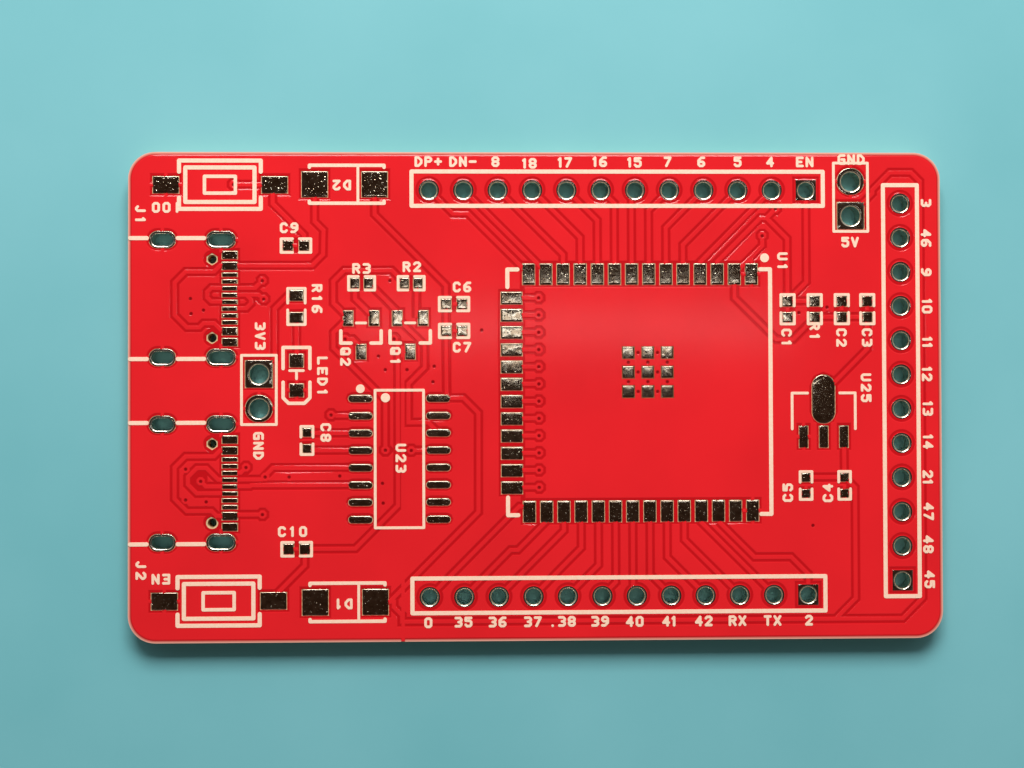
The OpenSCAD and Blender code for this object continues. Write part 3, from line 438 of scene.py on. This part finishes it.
def mask_film(name, node, side, copper):
    """The mask of one face as a film that follows what lies under it. Its
    height is the nominal one over copper, MASK_SAG less between copper areas,
    with a slope of width 2 SLOPE at every copper edge. Over each via it sags
    into a bowl, by VIA_DROP (1 - (r / VIA_R)^2). Its openings are the CAD's,
    less PAD_CREEP or RING_CREEP all round, and walls go down to the core
    there. The attribute core_tone_and_via_shade says how dark it is: the
    mask's own darker tone over the bare core, and painted shade in the bowl
    over each via. The attribute rim says how worn it is."""
    outer = BOARD_T if side > 0 else 0.0
    foil = outer - side * MASK_T
    core = outer - side * CORE_DEPTH
    verts, tris = stacked([face_of(n, foil, side) for n in copper])
    ground = flat_tree(verts, tris)
    points, tris = triangulate(verts[:, :2], rim_edges(tris))
    on_copper = covered(ground, points[tris].mean(axis=1))
    barrels = middles_of("via_barrels")
    outline = rim_edges(tris[on_copper])
    outline = outline[to_nearest(points[outline[:, 0]], barrels) > VIA_R]

    film_verts, film_tris = face_of(node, foil, -side)
    film_tris = film_tris[:, ::-1]
    film_rim = rim_edges(film_tris)
    film = flat_tree(film_verts, film_tris)
    lines = [beside(points, outline, SLOPE), beside(points, outline, -SLOPE),
             (film_verts[:, :2], film_rim)]
    on_edge = np.abs(inside_board(film_verts[:, :2])[film_rim]).max(axis=1) < EDGE_EASE
    lines.append(beside(film_verts[:, :2], film_rim[on_edge], RIM_W))
    opening = film_rim[~on_edge]
    starts, ends = film_verts[opening[:, 0], :2], film_verts[opening[:, 1], :2]
    at_ring = to_nearest((starts + ends) / 2, HEADER_PLACES) < RING_REACH
    creep = np.where(at_ring, RING_CREEP, PAD_CREEP)
    lines.append(beside(film_verts[:, :2], opening, -creep))
    lines += [circles(barrels, share * VIA_R) for share in VIA_SHARES]
    flat, tris = triangulate(*stacked(lines))
    middles = flat[tris].mean(axis=1)
    keep = covered(film, middles)
    for chosen, reach in ((at_ring, RING_CREEP), (~at_ring, PAD_CREEP)):
        edges = film_verts[opening[chosen], :2]
        keep[~keep] = to_edges(middles[~keep], edges) < reach
    tris = tris[keep & (inside_board(middles) < 0)]
    used, index = np.unique(tris, return_inverse=True)
    flat, tris = flat[used], index.reshape(-1, 3)

    core_tone_and_via_shade = np.where(covered(ground, flat), 0.0, GROOVE_TONE)
    height = outer - side * MASK_SAG * (core_tone_and_via_shade > 0)
    share = to_nearest(flat, barrels) / VIA_R
    bowl = share < 1.001  # with the points of the rim itself
    # Painted shade: the mask darkens towards the middle of the dimple over each via.
    core_tone_and_via_shade[bowl] = np.clip(VIA_PAINTED_SHADE_RATE - VIA_PAINTED_SHADE_RATE * share[bowl], 0.0, 1.0)
    height[bowl] = outer - side * VIA_DROP * (1 - share[bowl] ** 2)
    rim = (inside_board(flat) > -RIM_W / 2).astype(float)
    height[rim > 0] = outer - side * RIM_DROP
    walls = rim_edges(tris)
    n = len(flat)
    top = np.c_[flat, height]
    low = np.c_[flat, np.full(n, core)]
    sides = np.c_[walls[:, 1], walls[:, 0], walls[:, 0] + n, walls[:, 1] + n]
    faces = [tris, tris[:, ::-1] + n, sides]
    if side < 0:
        faces = [f[:, ::-1] for f in faces]
    obj = mesh_object(name, np.r_[top, low], faces, MASK)
    for key, values in (("core_tone_and_via_shade", core_tone_and_via_shade), ("rim", rim)):
        layer = obj.data.attributes.new(key, "FLOAT", "POINT")
        layer.data.foreach_set("value", np.r_[values, values].astype(np.float32))
    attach(obj, "root")
    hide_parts(node)


mask_film("top_mask_film", "top_solder_mask", 1,
          ["top_ground_pour", "top_tracks"] + THROUGH_NODES + PAD_NODES)
mask_film("bottom_mask_film", "bottom_solder_mask", -1,
          ["bottom_ground_pour", "bottom_tracks"] + THROUGH_NODES)


# ---------------------------------------------------------------- plated holes

def boxes(node):
    """Middle, size and corners of each solid of a node, seen from above."""
    parts = [v[:, :2] for v in islands(*read_mesh(node))]
    return [((p.max(axis=0) + p.min(axis=0)) / 2, np.ptp(p, axis=0), p) for p in parts]


def pill_path(length, width, turn):
    """Closed path round a bar with round ends: the ends' middles are
    (length - width) / 2 either side, and each point is half the width away."""
    half = (length - width) / 2
    return np.c_[half * np.sign(np.cos(turn)) + width / 2 * np.cos(turn),
                 width / 2 * np.sin(turn)]


def square_path(side, turn):
    """Closed path round a square: r = side / 2 / max(|cos|, |sin|)."""
    r = side / 2 / np.maximum(np.abs(np.cos(turn)), np.abs(np.sin(turn)))
    return np.c_[r * np.cos(turn), r * np.sin(turn)]


RING_STEPS = 64
RIM_R = 0.13          # radius that the tin gives the rim of a hole
HOLE_EASE = 0.03      # how much wider the hot air leaves a round hole
TIN_EDGE_R = 0.02     # radius of the tin's outer edge
TURN = (np.arange(RING_STEPS) + 0.5) * 2 * np.pi / RING_STEPS


def ring_profile():
    """Half of a plated ring's section, from the middle of the barrel up and
    out to the core: (s, d, z), where s runs from the hole's path at 0 to the
    ring's outer path at 1, d is a distance added to the hole's path, and z
    is the height. The rim and the outer edge are quarter circles."""
    top = BOARD_T - MASK_T + TIN_T
    rim = np.linspace(0, np.pi / 2, 9)
    edge = np.linspace(0, np.pi / 2, 4)
    wall = np.array([[0, 0, BOARD_T / 2]])
    rim = np.c_[0 * rim, RIM_R * (1 - np.cos(rim)), top - RIM_R * (1 - np.sin(rim))]
    edge = np.c_[1 + 0 * edge, -TIN_EDGE_R * (1 - np.sin(edge)),
                 top - TIN_EDGE_R * (1 - np.cos(edge))]
    foot = np.array([[1, 0, BOARD_T - CORE_DEPTH]])
    return np.concatenate([wall, rim, edge, foot])


def lofted_ring(inner, outer, place):
    """A plated hole: the half profile and its mirror image carried round both
    paths. A point is inner + d * outward where s = 0, and outer + d * outward
    where s = 1."""
    half = ring_profile()
    mirrored = half[::-1] * [1, 1, -1] + [0, 0, BOARD_T]
    section = np.concatenate([mirrored[:-1], half])
    reach = outer - inner
    outward = reach / np.linalg.norm(reach, axis=1)[:, None]
    s, d, z = section.T[:, :, None, None]
    grid = inner + s * reach + d * outward + place
    return np.concatenate([grid, np.broadcast_to(z, grid.shape[:2] + (1,))], axis=2)


def closed_grid(grid, start):
    """Quads of a grid whose second direction closes on itself, and whose
    first and last rows are joined."""
    rows, steps = grid.shape[:2]
    index = start + np.arange(rows * steps).reshape(rows, steps)
    right = np.roll(index, -1, axis=1)
    up = np.roll(index, -1, axis=0)
    return np.stack([index, right, np.roll(right, -1, axis=0), up], axis=2).reshape(-1, 4)


SLOT_RING = 0.2       # width of the copper round a shell slot


def hole_paths(node, size, corners):
    """The hole's path and the ring's outer path for one solid of a node."""
    if node in SLOT_NODES:
        return pill_path(*(size - 2 * SLOT_RING), TURN), pill_path(*size, TURN)
    reach = np.linalg.norm(corners, axis=1)
    bore = 2 * (reach.min() + HOLE_EASE)
    hole = pill_path(bore, bore, TURN)
    square = reach.max() > 0.6 * size[0]  # 0.5 on a round ring, 0.71 on a square one
    return hole, square_path(size[0], TURN) if square else pill_path(*size, TURN)


def plated_rings(node):
    """The plated holes of a node, with the rims that the tin rounds."""
    grids, faces, start = [], [], 0
    for middle, size, corners in boxes(node):
        inner, outer = hole_paths(node, size, corners - middle)
        grid = lofted_ring(inner, outer, middle)
        faces.append(closed_grid(grid, start))
        grids.append(grid.reshape(-1, 3))
        start += len(grids[-1])
    obj = mesh_object(node + "_tinned", np.concatenate(grids), faces, BARREL_TIN, smooth=True)
    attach(obj, "root")
    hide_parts(node)


for ring_node in RING_NODES + SLOT_NODES:
    plated_rings(ring_node)


# ---------------------------------------------------------------- tinned pads

PAD_STEPS = 40
PAD_CORNER_R = 0.09
PAD_DOME = 0.005      # rise of the solder in the middle of a pad 1 mm wide
PAD_SHOULDER = 0.03   # radius of the solder's edge
CROWN_SHARES = np.array([0.8, 0.55, 0.3, 0.08])


def pad_path(size, corner):
    """Closed path round a rectangle with corners of the given radius: each
    quarter circle goes round a corner's middle."""
    turn = (np.arange(PAD_STEPS) + 0.5) * 2 * np.pi / PAD_STEPS
    middle = (size / 2 - corner) * np.sign(np.c_[np.cos(turn), np.sin(turn)])
    return middle + corner * np.c_[np.cos(turn), np.sin(turn)]


def pad_grid(middle, size, corner):
    """Rows of a pad from its foot to near its middle: a straight wall, a
    round shoulder, then a crown that rises as 1 - s^2, where s is the share
    of the way out from the middle."""
    foot, top = BOARD_T - CORE_DEPTH, BOARD_T - MASK_T + TIN_T
    path = pad_path(size, corner)
    turn = np.linspace(0, np.pi / 2, 4)
    edge_in = PAD_SHOULDER * (1 - np.cos(turn))
    edge_z = top - PAD_SHOULDER * (1 - np.sin(turn))
    scale = 1 - 2 * edge_in[:, None] / size
    scale = np.concatenate([scale[:1], scale, CROWN_SHARES[:, None] * scale[-1]])
    rise = PAD_DOME * min(1.0, min(size)) * (1 - CROWN_SHARES ** 2)
    height = np.concatenate([[foot], edge_z, top + rise])
    flat = path * scale[:, None, :] + middle
    high = np.broadcast_to(height[:, None, None], flat.shape[:2] + (1,))
    return np.concatenate([flat, high], axis=2)


def tinned_pads(node):
    """The pads of a node, crowned by the solder that the hot air left on them."""
    grids, quads, caps, start = [], [], [], 0
    for middle, size, corners in boxes(node):
        round_ends = len(corners) > 8  # a plain pad has eight corners
        corner = min(size) / 2 - 1e-3 if round_ends else min(PAD_CORNER_R, 0.3 * min(size))
        grid = pad_grid(middle, size, corner)
        index = start + np.arange(grid.shape[0] * PAD_STEPS).reshape(-1, PAD_STEPS)
        right = np.roll(index, -1, axis=1)
        quad = np.stack([index[:-1], right[:-1], right[1:], index[1:]], axis=2)
        quads.append(quad.reshape(-1, 4))
        caps.append(np.stack([index[-1], index[0][::-1]]))
        grids.append(grid.reshape(-1, 3))
        start += len(grids[-1])
    obj = mesh_object(node + "_tinned", np.concatenate(grids), quads + caps, PAD_TIN,
                      smooth=True)
    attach(obj, "root")
    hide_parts(node)


for pad_node in PAD_NODES:
    tinned_pads(pad_node)


# ---------------------------------------------------------------- words

# Each sign is a list of strokes, each stroke its points on a grid 4 wide, 6 high
SIGNS = {
    "0": ["10 30 41 45 36 16 05 01 10"],
    "1": ["15 26 20"],
    "2": ["05 16 36 45 44 00 40"],
    "3": ["06 36 45 44 33 23", "33 42 41 30 00"],
    "4": ["30 36 02 42"],
    "5": ["46 06 04 34 43 41 30 10 01"],
    "6": ["46 26 04 01 10 30 41 42 33 03"],
    "7": ["06 46 10"],
    "8": ["13 04 05 16 36 45 44 33 13 02 01 10 30 41 42 33"],
    "9": ["00 20 42 45 36 16 05 04 13 43"],
    "C": ["45 36 16 05 01 10 30 41"],
    "D": ["00 06 26 44 42 20 00"],
    "E": ["46 06 00 40", "03 33"],
    "G": ["46 16 05 01 10 40 43 23"],
    "I": ["20 26"],
    "J": ["36 31 20 10 01"],
    "L": ["06 00 40"],
    "N": ["00 06 40 46"],
    "O": ["10 30 41 45 36 16 05 01 10"],
    "P": ["00 06 36 45 44 33 03"],
    "Q": ["10 30 41 45 36 16 05 01 10", "22 40"],
    "R": ["00 06 36 45 44 33 03", "23 40"],
    "T": ["06 46", "26 20"],
    "U": ["06 01 10 30 41 46"],
    "V": ["06 20 46"],
    "X": ["00 46", "06 40"],
    "+": ["03 43", "21 25"],
    "-": ["03 43"],
    ".": ["20 20"],
}
SIGN_W = 0.40
SIGN_H = 0.60
STROKE_W = 0.19
PIN_PITCH = 0.72      # from sign to sign in the pins' words
PIN_ONE_PITCH = 0.46  # room for a 1 there
PART_PITCH = 0.77     # from sign to sign in the parts' words
WORD_RISE = 0.002     # how far the words stand above the legend's lines

# Words: (text, x, y, quarter turns), with the middle of each
PIN_WORDS = [
    ("DP+", -8.0, 17.3, 0), ("DN-", -5.45, 17.3, 0), ("8", -3.05, 17.3, 0),
    ("18", -0.53, 17.18, 0), ("17", 2.1, 17.25, 0), ("16", 4.68, 17.3, 0),
    ("15", 7.25, 17.26, 0), ("7", 9.7, 17.3, 0), ("6", 12.2, 17.3, 0),
    ("5", 14.9, 17.3, 0), ("4", 17.32, 17.3, 0), ("EN", 19.9, 17.3, 0),
    ("0", -8.08, -16.62, 0), ("35", -5.5, -16.59, 0), ("36", -3.0, -16.6, 0),
    ("37", -0.4, -16.6, 0), (".", 1.05, -16.6, 0), ("38", 2.1, -16.59, 0),
    ("39", 4.55, -16.6, 0), ("40", 7.1, -16.63, 0), ("41", 9.65, -16.63, 0),
    ("42", 12.2, -16.63, 0), ("RX", 14.7, -16.63, 0), ("TX", 17.3, -16.63, 0),
    ("2", 20.0, -16.63, 0), ("3", 28.95, 14.25, -1), ("46", 28.93, 11.64, -1),
    ("9", 28.93, 9.1, -1), ("10", 28.97, 6.56, -1), ("11", 28.97, 3.88, -1),
    ("12", 28.93, 1.52, -1), ("13", 28.97, -1.04, -1), ("14", 28.97, -3.5, -1),
    ("21", 28.93, -6.12, -1), ("47", 28.97, -8.65, -1), ("48", 28.93, -11.08, -1),
    ("45", 29.01, -13.67, -1), ("GND", 23.37, 17.48, 0), ("5V", 23.25, 11.34, 0),
    ("3V3", -20.35, 4.45, -1), ("GND", -20.48, -3.6, -1),
]
PART_WORDS = [
    ("R3", -12.93, 9.41, 0), ("R2", -9.23, 9.53, 0), ("C6", -5.54, 8.04, 0),
    ("C7", -5.55, 3.6, 0), ("C9", -18.23, 12.41, 0), ("C10", -18.0, -9.89, 0),
    ("R16", -16.19, 7.2, -1), ("LED1", -15.8, 1.48, -1), ("C8", -15.56, -2.64, -1),
    ("Q2", -14.11, 2.93, -1), ("Q1", -10.45, 2.95, -1), ("U23", -10.06, -4.55, -1),
    ("U1", 18.2, 9.9, -1), ("C1", 18.47, 4.24, -1), ("R1", 20.57, 4.72, -1),
    ("C2", 22.56, 4.25, -1), ("C3", 24.47, 4.25, -1), ("U25", 24.37, 0.53, -1),
    ("C5", 18.49, -7.21, 1), ("C4", 21.47, -7.24, 1), ("D2", -14.36, 15.56, 2),
    ("D1", -14.3, -15.2, 2), ("IO0", -27.19, 13.91, 2), ("EN", -27.59, -13.31, 2),
    ("J1", -29.09, 13.38, -1), ("J2", -29.04, -12.67, -1),
]


def strokes(text, x, y, turns, pitch, narrow):
    """The two ends of every straight run of a word's strokes. Each sign takes
    up the pitch, or the narrow pitch where it is a 1."""
    room = np.array([narrow if sign == "1" else pitch for sign in text])
    middles = np.cumsum(room) - room / 2 - room.sum() / 2
    runs = []
    for middle, sign in zip(middles, text):
        for stroke in SIGNS[sign]:
            points = np.array([[int(p[0]) / 4 - 0.5, int(p[1]) / 6 - 0.5]
                               for p in stroke.split()])
            points = points * [SIGN_W, SIGN_H] + [middle, 0]
            runs += list(zip(points[:-1], points[1:]))
    c, s = round(math.cos(turns * math.pi / 2)), round(math.sin(turns * math.pi / 2))
    return np.array(runs) @ np.array([[c, s], [-s, c]]) + [x, y]


def inked_words(name, words, pitch, narrow):
    """Words as one sheet of ink: each run is a bar with round ends, the bars
    are merged where they cross, and the sheet is raised by INK_T."""
    runs = np.concatenate([strokes(*w, pitch, narrow) for w in words])
    a, b = runs[:, 0], runs[:, 1]
    ahead = b - a
    angle = np.arctan2(ahead[:, 1], ahead[:, 0])[:, None]
    turn = angle + np.linspace(-np.pi / 2, np.pi / 2, 9)
    cap = STROKE_W / 2 * np.stack([np.cos(turn), np.sin(turn)], axis=2)
    bars = np.concatenate([b[:, None] + cap, a[:, None] - cap], axis=1)
    count, corners = bars.shape[:2]
    loops = np.arange(count * corners).reshape(count, corners)
    found = delaunay_2d_cdt([Vector(p) for p in bars.reshape(-1, 2).tolist()], [],
                            loops.tolist(), 0, 1e-4)
    flat = np.array([tuple(v) for v in found[0]])
    tris = np.array([t for t, bars_under in zip(found[2], found[5]) if bars_under])
    used, index = np.unique(tris, return_inverse=True)
    flat, tris = flat[used], index.reshape(-1, 3)
    walls = rim_edges(tris)
    n = len(flat)
    high, low = BOARD_T + INK_T + WORD_RISE, BOARD_T - MASK_T
    verts = np.r_[np.c_[flat, np.full(n, high)], np.c_[flat, np.full(n, low)]]
    sides = np.c_[walls[:, 1], walls[:, 0], walls[:, 0] + n, walls[:, 1] + n]
    obj = mesh_object(name, verts, [tris, tris[:, ::-1] + n, sides], INK)
    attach(obj, "root")


inked_words("pin_words", PIN_WORDS, PIN_PITCH, PIN_ONE_PITCH)
inked_words("part_words", PART_WORDS, PART_PITCH, PART_PITCH)


# ---------------------------------------------------------------- carried-over nodes

def finish_nodes(names, material):
    """Gives CAD nodes a finish."""
    for name in names:
        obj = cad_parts[name]
        obj.data.materials.clear()
        obj.data.materials.append(material)


finish_nodes(LEGEND_NODES, INK)
finish_nodes(["laminate"], CORE)
finish_nodes(FOIL_NODES, COPPER)


# ---------------------------------------------------------------- floor, lamps, camera

def aim(obj, place, target):
    """Puts a lamp at a place and turns it to a target."""
    obj.location = Vector(place) * MM
    away = (Vector(place) - Vector(target)) * MM
    obj.rotation_euler = away.to_track_quat("Z", "Y").to_euler()


def soft_box(name, place, target, size, watts):
    """A white rectangular lamp that the camera doesn't see."""
    lamp = bpy.data.lights.new(name, "AREA")
    lamp.shape = "RECTANGLE"
    lamp.size, lamp.size_y = size[0] * MM, size[1] * MM
    lamp.energy = watts
    obj = bpy.data.objects.new(name, lamp)
    bpy.context.scene.collection.objects.link(obj)
    aim(obj, place, target)
    obj.visible_camera = False


FLOOR_HALF = 3000.0
FLOOR_Z = -0.02
corner = np.array([[-1, -1], [1, -1], [1, 1], [-1, 1]]) * FLOOR_HALF
floor = mesh_object("floor", np.c_[corner, np.full(4, FLOOR_Z)], [np.arange(4)[None]],
                    pale_sheet())

soft_box("north_box", (0, 170, 170), (0, 0, 0), (150, 100), 0.67)
soft_box("ceiling_strip", (16, 15.5, 200), (16, 15.5, 0), (84, 5), 0.004)

world = bpy.data.worlds.new("studio")
bpy.context.scene.world = world
world.use_nodes = True
sky = world.node_tree
sky.nodes.clear()
direction = add(sky, "TexCoord").outputs["Generated"]
axes = add(sky, "SeparateXYZ", {"Vector": direction})
north = ramp(sky, axes.outputs["Y"], [(0.1, "#707070"), (0.35, "#909090"), (0.7, "#FFFFFF")])
high = ramp(sky, axes.outputs["Z"], [(0.0, "#B8B8B8"), (0.45, "#FFFFFF"), (0.8, "#D8D8D8"),
                                     (0.94, "#7A5A4A")])
dome = add(sky, "Mix", {"Factor": 1.0, "A": north, "B": high}, data_type="RGBA",
           blend_type="MULTIPLY").outputs["Result"]
seen = add(sky, "LightPath").outputs["Is Camera Ray"]
backdrop = add(sky, "Mix", {"Factor": seen, "A": dome, "B": linear("#B5DADE")}, data_type="RGBA")
light = add(sky, "Background", {"Color": backdrop.outputs["Result"], "Strength": 1.0})
add(sky, "OutputWorld", {"Surface": light.outputs[0]})

camera = bpy.data.cameras.new("camera")
camera.lens = 58.0
camera.sensor_width = 36.0
camera.clip_start = 0.005
eye = bpy.data.objects.new("camera", camera)
bpy.context.scene.collection.objects.link(eye)
eye.location = Vector((-5.378, -1.246, 123.055)) * MM
eye.rotation_euler = (0.01761, -0.02873, -0.00334)
bpy.context.scene.camera = eye

bpy.context.scene.view_settings.view_transform = "Standard"
